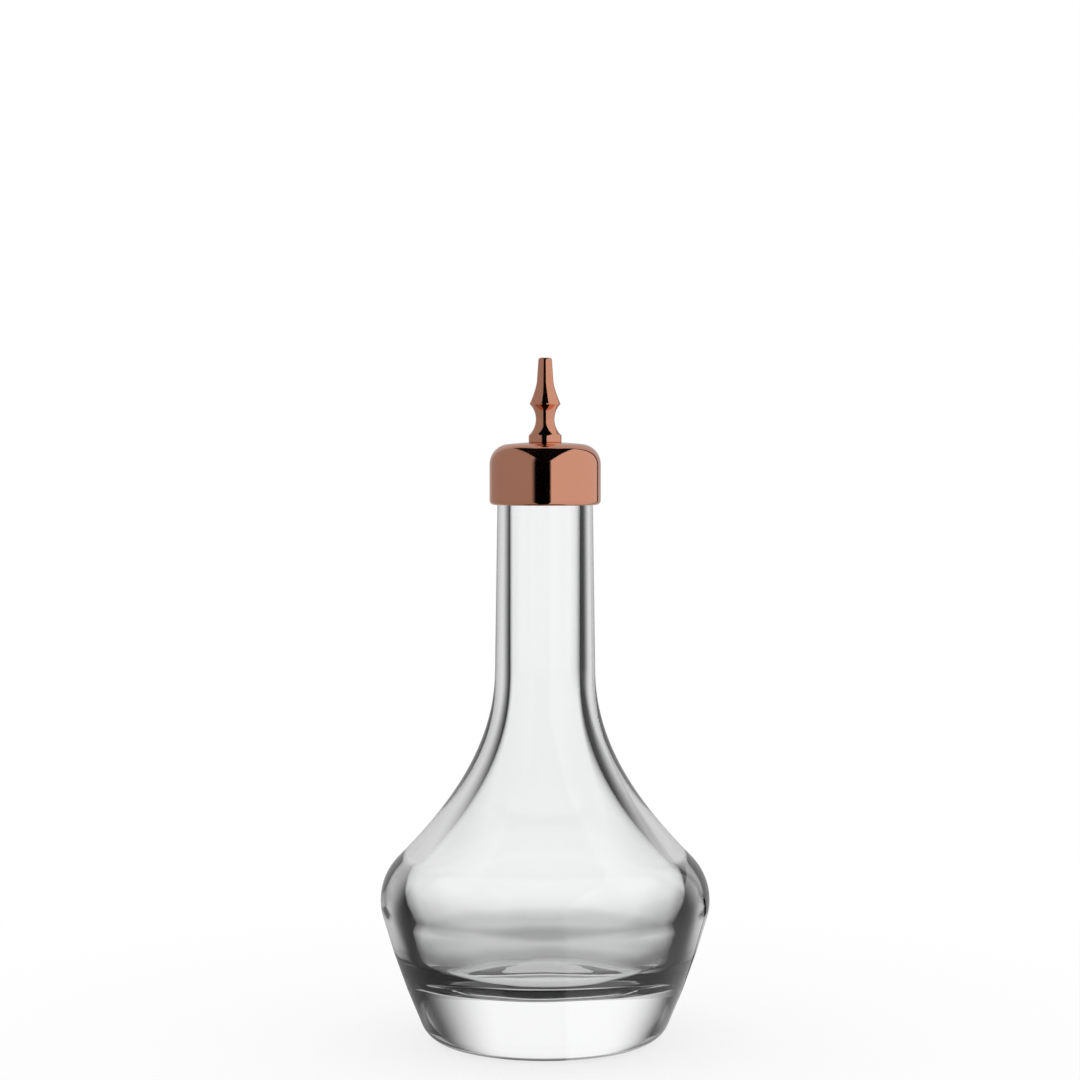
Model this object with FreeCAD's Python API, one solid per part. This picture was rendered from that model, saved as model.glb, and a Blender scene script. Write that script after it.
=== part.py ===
import FreeCAD, Part
import math
import os

# A bitters bottle: a thick clear glass bottle and a metal dasher top on a push-in stopper.
# Millimetres, +Z up, origin at the centre of the ring that the bottle stands on.

# Glass, outside
STANDING_RADIUS = 20.7
STANDING_WIDTH = 3.0
PUSH_UP = 1.0
HEEL_ROUND = 6.1
FLANK_ROUND = 167.0
BELLY_RADIUS = 35.0
BELLY_LIFT = 6.5
BELLY_ROUND = 12.3
SHOULDER_SLOPE = 45.5
SHOULDER_RISE = 48.4
SHOULDER_LOW_PULL = 13.8
SHOULDER_HIGH_PULL = 16.9
NECK_LENGTH = 42.9
RIM_FLAT = 1.0

# Glass, inside
MOUTH_RADIUS = 7.45
NECK_FOOT_WALL = 3.2
NECK_TOP_WALL = 2.6
SIDE_WALL = 5.0
BASE_WALL = 14.0
FLOOR_ROUND = 9.5
FLOOR_RISE = 2.0
CAVITY_ROUND = 9.2
CAVITY_LIFT = 0.8
CAVITY_SLOPE = 41.2
CAVITY_PULL = 23.3
BORE_PULL = 9.8

# Stopper
STEM_CLEARANCE = 0.45
SEAL_SECTION = 1.7
SEAL_CLEARANCE = 0.06
SEAL_SEAT = 0.03
GROOVE_PLAY = 0.1
SEAL_LAND = 0.85
STEM_NOSE = 1.2
NOSE_CHAMFER = 0.6
GASKET_THICKNESS = 1.0
GASKET_FIT = 0.05
FLANGE_WEB = 0.6
FLANGE_GAP = 0.3
SNAP_DEPTH = 2.0
SNAP_ROOM = 0.45

# Cap
SKIRT_CLEARANCE = 0.6
CAP_WALL = 1.15
CAP_SHOULDER_ROUND = 4.3
CROWN_ROUND = 70.0
CAP_HEADROOM = 1.4
SKIRT_COVER = 7.4
SKIRT_LIP = 0.2
STUD_CLEARANCE = 0.1

# Nozzle, its stud and its tail
COLLAR_LAND = 0.9
COLLAR_HEIGHT = 1.5
COVE_HEIGHT = 6.6
WAIST_WALL = 1.28
RIDGE_RADIUS = 3.3
RIDGE_LAND = 0.15
FLARE_HEIGHT = 4.8
FLARE_BEND_HEIGHT = 3.1
FLARE_BEND_WIDTH = 0.15
SPOUT_LENGTH = 4.85
SPOUT_TAPER = 0.3
TIP_WALL = 0.75
TIP_LIP = 0.25
DASH_BORE_RADIUS = 0.7
TAIL_RADIUS = 2.0
TAIL_WALL = 0.9
STUD_STEP = 0.5
BARB_OVERHANG = 0.35
BARB_LENGTH = 1.4
PIVOT_CLEARANCE = 0.05
RUN_GAP = 0.1

# Washer and nut
WASHER_WIDTH = 1.9
WASHER_THICKNESS = 0.7
NUT_WALL = 1.5
NUT_HEIGHT = 2.2
NUT_FIT = 0.02
NUT_ROOM = 0.35

# Heights that follow from the sizes above
FLOOR_CORNER_Z = BASE_WALL + FLOOR_ROUND
BELLY_Z = FLOOR_CORNER_Z + BELLY_LIFT
NECK_FOOT_Z = BELLY_Z + SHOULDER_RISE
RIM_Z = NECK_FOOT_Z + NECK_LENGTH
FLANGE_BOTTOM_Z = RIM_Z + GASKET_THICKNESS
RECESS_Z = FLANGE_BOTTOM_Z + FLANGE_WEB
NUT_BOTTOM_Z = RECESS_Z + RUN_GAP
NUT_TOP_Z = NUT_BOTTOM_Z + NUT_HEIGHT
CAP_CEILING_Z = NUT_TOP_Z + WASHER_THICKNESS
FLANGE_TOP_Z = CAP_CEILING_Z - CAP_HEADROOM
GROOVE_WIDTH = SEAL_SECTION + 2 * GROOVE_PLAY
UPPER_GROOVE_Z = RIM_Z - SEAL_LAND - GROOVE_WIDTH / 2
LOWER_GROOVE_Z = UPPER_GROOVE_Z - SEAL_LAND - GROOVE_WIDTH
STEM_BOTTOM_Z = LOWER_GROOVE_Z - GROOVE_WIDTH / 2 - STEM_NOSE
SNAP_Z = STEM_BOTTOM_Z + SNAP_DEPTH

# Radii that follow from the sizes above
NECK_FOOT_RADIUS = MOUTH_RADIUS + NECK_FOOT_WALL
NECK_TOP_RADIUS = MOUTH_RADIUS + NECK_TOP_WALL
STEM_RADIUS = MOUTH_RADIUS - STEM_CLEARANCE
SEAL_RADIUS = MOUTH_RADIUS - SEAL_CLEARANCE - SEAL_SECTION / 2
GROOVE_RADIUS = SEAL_RADIUS - SEAL_SECTION / 2 - SEAL_SEAT
PIVOT_RADIUS = TAIL_RADIUS + PIVOT_CLEARANCE
BARB_RADIUS = TAIL_RADIUS + BARB_OVERHANG
SKIRT_RADIUS = NECK_TOP_RADIUS + SKIRT_CLEARANCE + CAP_WALL
STUD_RADIUS = TAIL_RADIUS + STUD_STEP
STUD_HOLE_RADIUS = STUD_RADIUS + STUD_CLEARANCE
COLLAR_RADIUS = STUD_HOLE_RADIUS + COLLAR_LAND
WASHER_RADIUS = STUD_HOLE_RADIUS + WASHER_WIDTH
NUT_CORNER_RADIUS = (STUD_RADIUS + NUT_WALL) / math.cos(math.radians(30))
NUT_RECESS_RADIUS = NUT_CORNER_RADIUS + NUT_ROOM
TIP_RADIUS = DASH_BORE_RADIUS + TIP_WALL
FLARE_RADIUS = TIP_RADIUS + SPOUT_TAPER


def point(r, z):
    """Return the point at radius r and height z in the XZ half-plane."""
    return FreeCAD.Vector(r, 0, z)


def on_circle(centre, radius, angle):
    """Return the point of a circle in the half-plane; the angle, in radians, runs from +X towards +Z."""
    return point(centre.x + radius * math.cos(angle), centre.z + radius * math.sin(angle))


def bearing(start, end):
    """Return the angle of the direction from one point of the half-plane to another."""
    return math.atan2(end.z - start.z, end.x - start.x)


class Outline:
    """A closed half-section drawn edge by edge in the XZ plane, then turned about Z into a solid."""

    def __init__(self, r, z):
        self.start = point(r, z)
        self.here = self.start
        self.edges = []

    def line(self, r, z):
        """Draw a straight edge, or nothing when the pen is already there."""
        end = point(r, z)
        if self.here.distanceToPoint(end) > 1e-6:
            self.edges.append(Part.LineSegment(self.here, end).toShape())
            self.here = end
        return self

    def arc(self, centre, radius, start, end):
        """Draw an arc between two angles of a circle, with a straight edge up to where it starts."""
        first = on_circle(centre, radius, start)
        self.line(first.x, first.z)
        return self.bow(on_circle(centre, radius, (start + end) / 2), on_circle(centre, radius, end))

    def bow(self, middle, end):
        """Draw an arc through a middle point to an end point."""
        self.edges.append(Part.Arc(self.here, middle, end).toShape())
        self.here = end
        return self

    def curve(self, handles, end):
        """Draw a Bezier curve to an end point, pulled by the handles."""
        bezier = Part.BezierCurve()
        bezier.setPoles([self.here] + handles + [end])
        self.edges.append(bezier.toShape())
        self.here = end
        return self

    def solid(self):
        """Close the outline and turn it once about Z."""
        self.line(self.start.x, self.start.z)
        face = Part.Face(Part.Wire(self.edges))
        return face.revolve(FreeCAD.Vector(0, 0, 0), FreeCAD.Vector(0, 0, 1), 360)


def dome_centre(radius, z, rise):
    """Return the centre of a shallow dome that rises from a circle of the given radius at height z."""
    return point(0, z + rise - (radius ** 2 + rise ** 2) / (2 * rise))


def flank_centre(heel, belly):
    """Return the centre of the flank's arc, which touches the heel's circle and the belly's from outside."""
    to_heel = FLANK_ROUND - HEEL_ROUND
    to_belly = FLANK_ROUND - BELLY_ROUND
    apart = heel.distanceToPoint(belly)
    along = (to_heel ** 2 - to_belly ** 2 + apart ** 2) / (2 * apart)
    turn = bearing(heel, belly) + math.acos(along / to_heel)
    return on_circle(heel, to_heel, turn)


def inner_round(flank, radius, z):
    """Return the centre, at height z, of a round in the cavity that touches the inner flank's arc."""
    reach = FLANK_ROUND - SIDE_WALL - radius
    return point(flank.x + math.sqrt(reach ** 2 - (z - flank.z) ** 2), z)


def glass_bottle():
    """Return the bottle: one piece of glass between its outer skin and its cavity."""
    heel = point(STANDING_RADIUS, HEEL_ROUND)
    belly = point(BELLY_RADIUS - BELLY_ROUND, BELLY_Z)
    flank = flank_centre(heel, belly)
    corner = inner_round(flank, FLOOR_ROUND, FLOOR_CORNER_Z)
    hollow = inner_round(flank, CAVITY_ROUND, BELLY_Z + CAVITY_LIFT)
    slope = math.radians(90 - SHOULDER_SLOPE)
    hollow_slope = math.radians(90 - CAVITY_SLOPE)
    lean = math.atan2(NECK_FOOT_RADIUS - NECK_TOP_RADIUS, NECK_LENGTH)
    ring = STANDING_RADIUS - STANDING_WIDTH
    push_up = dome_centre(ring, 0, PUSH_UP)
    floor = dome_centre(corner.x, BASE_WALL, FLOOR_RISE)
    floor_top = BASE_WALL + FLOOR_RISE
    low_pull = point(-math.sin(slope), math.cos(slope)) * SHOULDER_LOW_PULL
    high_pull = point(math.sin(lean), -math.cos(lean)) * SHOULDER_HIGH_PULL
    cavity_pull = point(-math.sin(hollow_slope), math.cos(hollow_slope)) * CAVITY_PULL
    foot = point(NECK_FOOT_RADIUS, NECK_FOOT_Z)
    bore_foot = point(MOUTH_RADIUS, NECK_FOOT_Z)
    skin_end = on_circle(belly, BELLY_ROUND, slope)
    cavity_end = on_circle(hollow, CAVITY_ROUND, hollow_slope)
    rim_round = (NECK_TOP_WALL - RIM_FLAT) / 2
    rim = RIM_Z - rim_round

    glass = Outline(0, PUSH_UP)
    glass.arc(push_up, PUSH_UP - push_up.z, math.pi / 2, bearing(push_up, point(ring, 0)))
    glass.arc(heel, HEEL_ROUND, -math.pi / 2, bearing(flank, heel))
    glass.arc(flank, FLANK_ROUND, bearing(flank, heel), bearing(flank, belly))
    glass.arc(belly, BELLY_ROUND, bearing(flank, belly), slope)
    glass.curve([skin_end + low_pull, foot + high_pull], foot)
    glass.arc(point(NECK_TOP_RADIUS - rim_round, rim), rim_round, 0, math.pi / 2)
    glass.arc(point(MOUTH_RADIUS + rim_round, rim), rim_round, math.pi / 2, math.pi)
    glass.line(bore_foot.x, bore_foot.z)
    glass.curve([bore_foot - point(0, BORE_PULL), cavity_end + cavity_pull], cavity_end)
    glass.arc(hollow, CAVITY_ROUND, hollow_slope, bearing(flank, hollow))
    glass.arc(flank, FLANK_ROUND - SIDE_WALL, bearing(flank, hollow), bearing(flank, corner))
    glass.arc(corner, FLOOR_ROUND, bearing(flank, corner), -math.pi / 2)
    glass.arc(floor, floor_top - floor.z, bearing(floor, point(corner.x, BASE_WALL)), math.pi / 2)
    return glass.solid()


def cap_circles():
    """Return the centres of the cap's shoulder arc and of its crown arc, which touch each other."""
    ceiling_sag = math.sqrt((CROWN_ROUND - CAP_WALL) ** 2 - WASHER_RADIUS ** 2)
    crown = point(0, CAP_CEILING_Z - ceiling_sag)
    r = SKIRT_RADIUS - CAP_SHOULDER_ROUND
    rise = math.sqrt((CROWN_ROUND - CAP_SHOULDER_ROUND) ** 2 - r ** 2)
    return point(r, crown.z + rise), crown


def collar_seat():
    """Return the height of the flat on the crown that the nozzle's collar sits on."""
    crown = cap_circles()[1]
    return crown.z + math.sqrt(CROWN_ROUND ** 2 - COLLAR_RADIUS ** 2)


def flange_radius():
    """Return the radius at which the stopper's flange still clears the inside of the cap's shoulder."""
    shoulder = cap_circles()[0]
    inside = CAP_SHOULDER_ROUND - CAP_WALL
    return shoulder.x + math.sqrt(inside ** 2 - (FLANGE_TOP_Z + FLANGE_GAP - shoulder.z) ** 2)


def cap_shell():
    """Return the drawn metal cap: a domed crown with a flat for the collar, a round shoulder and a skirt."""
    shoulder, crown = cap_circles()
    meet = bearing(crown, shoulder)
    bottom = RIM_Z - SKIRT_COVER
    edge_round = CAP_WALL - SKIRT_LIP
    edge = point(SKIRT_RADIUS - edge_round, bottom + edge_round)
    ceiling = math.acos(WASHER_RADIUS / (CROWN_ROUND - CAP_WALL))
    seat = math.acos(COLLAR_RADIUS / CROWN_ROUND)

    cap = Outline(STUD_HOLE_RADIUS, CAP_CEILING_Z)
    cap.arc(crown, CROWN_ROUND - CAP_WALL, ceiling, meet)
    cap.arc(shoulder, CAP_SHOULDER_ROUND - CAP_WALL, meet, 0)
    cap.line(SKIRT_RADIUS - CAP_WALL, bottom)
    cap.arc(edge, edge_round, -math.pi / 2, 0)
    cap.arc(shoulder, CAP_SHOULDER_ROUND, 0, meet)
    cap.arc(crown, CROWN_ROUND, meet, seat)
    cap.line(STUD_HOLE_RADIUS, collar_seat())
    return cap.solid()


def nozzle():
    """Return the turned dasher: a spout with a fine bore, a threaded stud and a tail with a snap barb."""
    seat = collar_seat()
    collar = seat + COLLAR_HEIGHT
    ridge = collar + COVE_HEIGHT
    flare = ridge + RIDGE_LAND + FLARE_HEIGHT
    tip = flare + SPOUT_LENGTH
    tail_end = SNAP_Z - RUN_GAP - BARB_LENGTH
    bend = point(FLARE_RADIUS + FLARE_BEND_WIDTH, ridge + RIDGE_LAND + FLARE_BEND_HEIGHT)
    tip_round = TIP_WALL - TIP_LIP
    tail_bore = TAIL_RADIUS - TAIL_WALL

    dasher = Outline(tail_bore, tail_end)
    dasher.line(TAIL_RADIUS, tail_end)
    dasher.line(BARB_RADIUS, SNAP_Z - RUN_GAP)
    dasher.line(TAIL_RADIUS, SNAP_Z - RUN_GAP)
    dasher.line(TAIL_RADIUS, NUT_BOTTOM_Z)
    dasher.line(STUD_RADIUS, NUT_BOTTOM_Z)
    dasher.line(STUD_RADIUS, seat)
    dasher.line(COLLAR_RADIUS, seat)
    dasher.line(COLLAR_RADIUS, collar)
    dasher.bow(point(DASH_BORE_RADIUS + WAIST_WALL, collar + COVE_HEIGHT / 2), point(RIDGE_RADIUS, ridge))
    dasher.line(RIDGE_RADIUS, ridge + RIDGE_LAND)
    dasher.curve([bend], point(FLARE_RADIUS, flare))
    dasher.arc(point(TIP_RADIUS - tip_round, tip - tip_round), tip_round, 0, math.pi / 2)
    dasher.line(DASH_BORE_RADIUS, tip)
    dasher.line(DASH_BORE_RADIUS, seat)
    dasher.line(tail_bore, seat)
    return dasher.solid()


def nozzle_washer():
    """Return the flat washer under the crown."""
    washer = Part.makeCylinder(WASHER_RADIUS, WASHER_THICKNESS, point(0, NUT_TOP_Z))
    return washer.cut(Part.makeCylinder(STUD_HOLE_RADIUS, WASHER_THICKNESS, point(0, NUT_TOP_Z)))


def nozzle_nut():
    """Return the hex nut on the stud."""
    corners = []
    for step in range(7):
        angle = math.radians(60 * step)
        x = NUT_CORNER_RADIUS * math.cos(angle)
        y = NUT_CORNER_RADIUS * math.sin(angle)
        corners.append(FreeCAD.Vector(x, y, NUT_BOTTOM_Z))
    hexagon = Part.Face(Part.makePolygon(corners))
    nut = hexagon.extrude(FreeCAD.Vector(0, 0, NUT_HEIGHT))
    return nut.cut(Part.makeCylinder(STUD_RADIUS + NUT_FIT, NUT_HEIGHT, point(0, NUT_BOTTOM_Z)))


def stopper_core():
    """Return the moulded plug: a flange on the gasket and a stem with two ring grooves, bored for the tail."""
    flange = flange_radius()

    core = Outline(PIVOT_RADIUS, RECESS_Z)
    core.line(PIVOT_RADIUS, SNAP_Z)
    core.line(BARB_RADIUS + SNAP_ROOM, SNAP_Z)
    core.line(BARB_RADIUS + SNAP_ROOM, STEM_BOTTOM_Z)
    core.line(STEM_RADIUS - NOSE_CHAMFER, STEM_BOTTOM_Z)
    core.line(STEM_RADIUS, STEM_BOTTOM_Z + NOSE_CHAMFER)
    for groove in (LOWER_GROOVE_Z, UPPER_GROOVE_Z):
        core.line(STEM_RADIUS, groove - GROOVE_WIDTH / 2)
        core.line(GROOVE_RADIUS, groove - GROOVE_WIDTH / 2)
        core.line(GROOVE_RADIUS, groove + GROOVE_WIDTH / 2)
        core.line(STEM_RADIUS, groove + GROOVE_WIDTH / 2)
    core.line(STEM_RADIUS, FLANGE_BOTTOM_Z)
    core.line(flange, FLANGE_BOTTOM_Z)
    core.line(flange, FLANGE_TOP_Z)
    core.line(NUT_RECESS_RADIUS, FLANGE_TOP_Z)
    core.line(NUT_RECESS_RADIUS, RECESS_Z)
    return core.solid()


def rim_gasket():
    """Return the soft ring between the flange and the rim."""
    ring = Part.makeCylinder(flange_radius(), GASKET_THICKNESS, point(0, RIM_Z))
    return ring.cut(Part.makeCylinder(STEM_RADIUS + GASKET_FIT, GASKET_THICKNESS, point(0, RIM_Z)))


def seal_ring(z):
    """Return an O-ring at height z."""
    return Part.makeTorus(SEAL_RADIUS, SEAL_SECTION / 2, point(0, z))


def main():
    """Build every piece and write one file for each."""
    pieces = {
        "glass_bottle": glass_bottle(),
        "stopper_core": stopper_core(),
        "rim_gasket": rim_gasket(),
        "upper_seal_ring": seal_ring(UPPER_GROOVE_Z),
        "lower_seal_ring": seal_ring(LOWER_GROOVE_Z),
        "cap_shell": cap_shell(),
        "nozzle": nozzle(),
        "nozzle_washer": nozzle_washer(),
        "nozzle_nut": nozzle_nut(),
    }
    os.makedirs("parts", exist_ok=True)
    for name, shape in pieces.items():
        shape.exportStep("parts/" + name + ".step")
        box = shape.BoundBox
        print(name, shape.isValid(), round(shape.Volume, 1), round(box.ZMin, 2), round(box.ZMax, 2))


main()
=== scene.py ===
"""Looks of the bitters bottle: clear turned glass, a polished copper dasher top and the stopper inside it."""

import logging
import math
from dataclasses import dataclass
from enum import Enum
from typing import Dict, List, Optional, Tuple, Union

import bmesh
import bpy
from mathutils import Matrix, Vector


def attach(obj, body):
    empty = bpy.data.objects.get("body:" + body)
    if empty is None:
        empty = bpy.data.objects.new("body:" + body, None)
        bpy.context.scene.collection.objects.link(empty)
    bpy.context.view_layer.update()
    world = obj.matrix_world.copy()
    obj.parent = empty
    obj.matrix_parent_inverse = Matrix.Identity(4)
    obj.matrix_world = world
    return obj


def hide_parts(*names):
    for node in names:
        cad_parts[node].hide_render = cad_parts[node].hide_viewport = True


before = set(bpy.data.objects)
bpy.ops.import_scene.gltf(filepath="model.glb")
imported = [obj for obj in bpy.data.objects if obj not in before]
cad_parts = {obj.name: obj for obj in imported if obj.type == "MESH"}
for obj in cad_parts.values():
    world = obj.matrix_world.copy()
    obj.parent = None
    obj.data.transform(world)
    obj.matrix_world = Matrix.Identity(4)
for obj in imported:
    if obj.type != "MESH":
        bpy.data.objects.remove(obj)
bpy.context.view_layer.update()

MM = 0.001
PHOTO_SIDE_PX = 1080

Point = Tuple[float, float]
Span = Tuple[float, float]
Colour = Tuple[float, float, float]
Sockets = List[bpy.types.NodeSocket]
Feed = Union[bpy.types.NodeSocket, float]

log = logging.getLogger("bitters_bottle")


class Skin(Enum):
    """Where a profile's rows lie, for the glass: the polished outside or the blown inside."""

    OUTER = 0
    INNER = 1


class Profile:
    """A lathe's half-section, as radius and height in millimetres, sampled from lines, arcs and curves."""

    ARC_STEP = math.radians(4.0)
    FEWEST_STEPS = 3
    CURVE_STEPS = 48
    SUPPORT = 0.06
    SHORT_LINE = 4 * SUPPORT
    SAME_PLACE = 1e-6

    def __init__(self, r: float, z: float) -> None:
        """Put the pen down.

        Args:
            r: Radius of the first point.
            z: Height of the first point.
        """
        self.points: List[Point] = [(r, z)]

    def _add(self, r: float, z: float) -> None:
        """Add a point, unless the pen is already there."""
        if math.dist((r, z), self.points[-1]) > self.SAME_PLACE:
            self.points.append((r, z))

    def line(self, r: float, z: float) -> "Profile":
        """Draw a straight stretch, with a support point close to each end so that it shades flat.

        Args:
            r: Radius of the end.
            z: Height of the end.

        Returns:
            The profile itself.
        """
        r0, z0 = self.points[-1]
        length = math.hypot(r - r0, z - z0)
        if length > self.SHORT_LINE:
            near = self.SUPPORT / length
            for t in (near, 1 - near):
                self._add(r0 + (r - r0) * t, z0 + (z - z0) * t)
        self._add(r, z)
        return self

    def arc(self, centre: Point, radius: float, start: float, end: float) -> "Profile":
        """Draw an arc, after a straight stretch up to where it starts.

        Args:
            centre: The circle's centre.
            radius: The circle's radius.
            start: First angle in radians, from outwards towards up.
            end: Last angle in radians.

        Returns:
            The profile itself.
        """
        self.line(centre[0] + radius * math.cos(start), centre[1] + radius * math.sin(start))
        steps = max(self.FEWEST_STEPS, math.ceil(abs(end - start) / self.ARC_STEP))
        for i in range(1, steps + 1):
            a = start + (end - start) * i / steps
            self._add(centre[0] + radius * math.cos(a), centre[1] + radius * math.sin(a))
        return self

    def curve(self, *poles: Point) -> "Profile":
        """Draw a Bezier curve from the pen through the given handles to the last pole.

        Args:
            poles: Handles, then the end point.

        Returns:
            The profile itself.
        """
        ring = [self.points[-1], *poles]
        degree = len(ring) - 1
        for i in range(1, self.CURVE_STEPS + 1):
            t = i / self.CURVE_STEPS
            weights = [math.comb(degree, k) * t ** k * (1 - t) ** (degree - k) for k in range(degree + 1)]
            r = sum(w * p[0] for w, p in zip(weights, ring))
            z = sum(w * p[1] for w, p in zip(weights, ring))
            self._add(r, z)
        return self

    def bow(self, start: Point, middle: Point, end: Point, trim: float) -> "Profile":
        """Draw an arc through three points, cut short at both ends so that its edges are softened.

        Args:
            start: First point of the circle's arc.
            middle: A point between.
            end: Last point.
            trim: Length left off at each end.

        Returns:
            The profile itself.
        """
        ax, ay = start[0] - end[0], start[1] - end[1]
        bx, by = middle[0] - end[0], middle[1] - end[1]
        cross = 2 * (ax * by - ay * bx)
        a2, b2 = ax * ax + ay * ay, bx * bx + by * by
        centre = (end[0] + (by * a2 - ay * b2) / cross, end[1] + (ax * b2 - bx * a2) / cross)
        radius = math.dist(centre, start)
        first, mid, last = (bearing(centre, p) % math.tau for p in (start, middle, end))
        turn = math.copysign(trim / radius, mid - first)
        return self.arc(centre, radius, first + turn, last - turn)

    def close(self) -> "Profile":
        """Draw a straight stretch back to the first point."""
        return self.line(*self.points[0])


def bearing(start: Point, end: Point) -> float:
    """Return the angle of the direction from one point of the half-section to another."""
    return math.atan2(end[1] - start[1], end[0] - start[0])


def on_circle(centre: Point, radius: float, angle: float) -> Point:
    """Return the point of a circle at an angle in radians."""
    return centre[0] + radius * math.cos(angle), centre[1] + radius * math.sin(angle)


class NodeWriter:
    """Adds nodes and links to one node tree with few words."""

    def __init__(self, tree: bpy.types.NodeTree) -> None:
        """Take the tree to write in."""
        self.tree = tree

    def add(self, kind: str, **values: object) -> bpy.types.Node:
        """Add a node.

        Args:
            kind: The node's class name in Blender.
            values: Attributes to set on it.

        Returns:
            The new node.
        """
        node = self.tree.nodes.new(kind)
        for name, value in values.items():
            setattr(node, name, value)
        return node

    def link(self, source: bpy.types.NodeSocket, target: bpy.types.NodeSocket) -> None:
        """Join an output to an input."""
        self.tree.links.new(source, target)

    def put(self, value: Feed, target: bpy.types.NodeSocket) -> None:
        """Feed an input.

        Args:
            value: A socket to join or a number to set.
            target: The input.
        """
        if isinstance(value, bpy.types.NodeSocket):
            self.link(value, target)
        else:
            target.default_value = value

    def math(self, operation: str, *inputs: Feed) -> bpy.types.NodeSocket:
        """Add a Math node.

        Args:
            operation: Blender's name of the operation.
            inputs: A socket to join or a number to set, for each input in turn.

        Returns:
            The node's output.
        """
        node = self.add("ShaderNodeMath", operation=operation)
        for socket, value in zip(node.inputs, inputs):
            self.put(value, socket)
        return node.outputs[0]

    def remap(self, value: bpy.types.NodeSocket, low: float, high: float,
              to_low: float, to_high: float, smooth: bool = False) -> bpy.types.NodeSocket:
        """Add a clamped Map Range node.

        Args:
            value: The socket to remap.
            low: Input value that becomes to_low.
            high: Input value that becomes to_high.
            to_low: Output at low.
            to_high: Output at high.
            smooth: Whether the step is smooth.

        Returns:
            The remapped value.
        """
        kind = "SMOOTHSTEP" if smooth else "LINEAR"
        node = self.add("ShaderNodeMapRange", clamp=True, interpolation_type=kind)
        for socket, number in zip(node.inputs[1:5], (low, high, to_low, to_high)):
            socket.default_value = number
        self.link(value, node.inputs[0])
        return node.outputs[0]

    def blend(self, low: Feed, high: Feed, share: bpy.types.NodeSocket) -> bpy.types.NodeSocket:
        """Add a float Mix node.

        Args:
            low: Socket or number where the share is 0.
            high: Socket or number where the share is 1.
            share: The share.

        Returns:
            The mixed value.
        """
        node = self.add("ShaderNodeMix", data_type="FLOAT")
        self.link(share, node.inputs["Factor"])
        self.put(low, node.inputs["A"])
        self.put(high, node.inputs["B"])
        return node.outputs["Result"]


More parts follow.
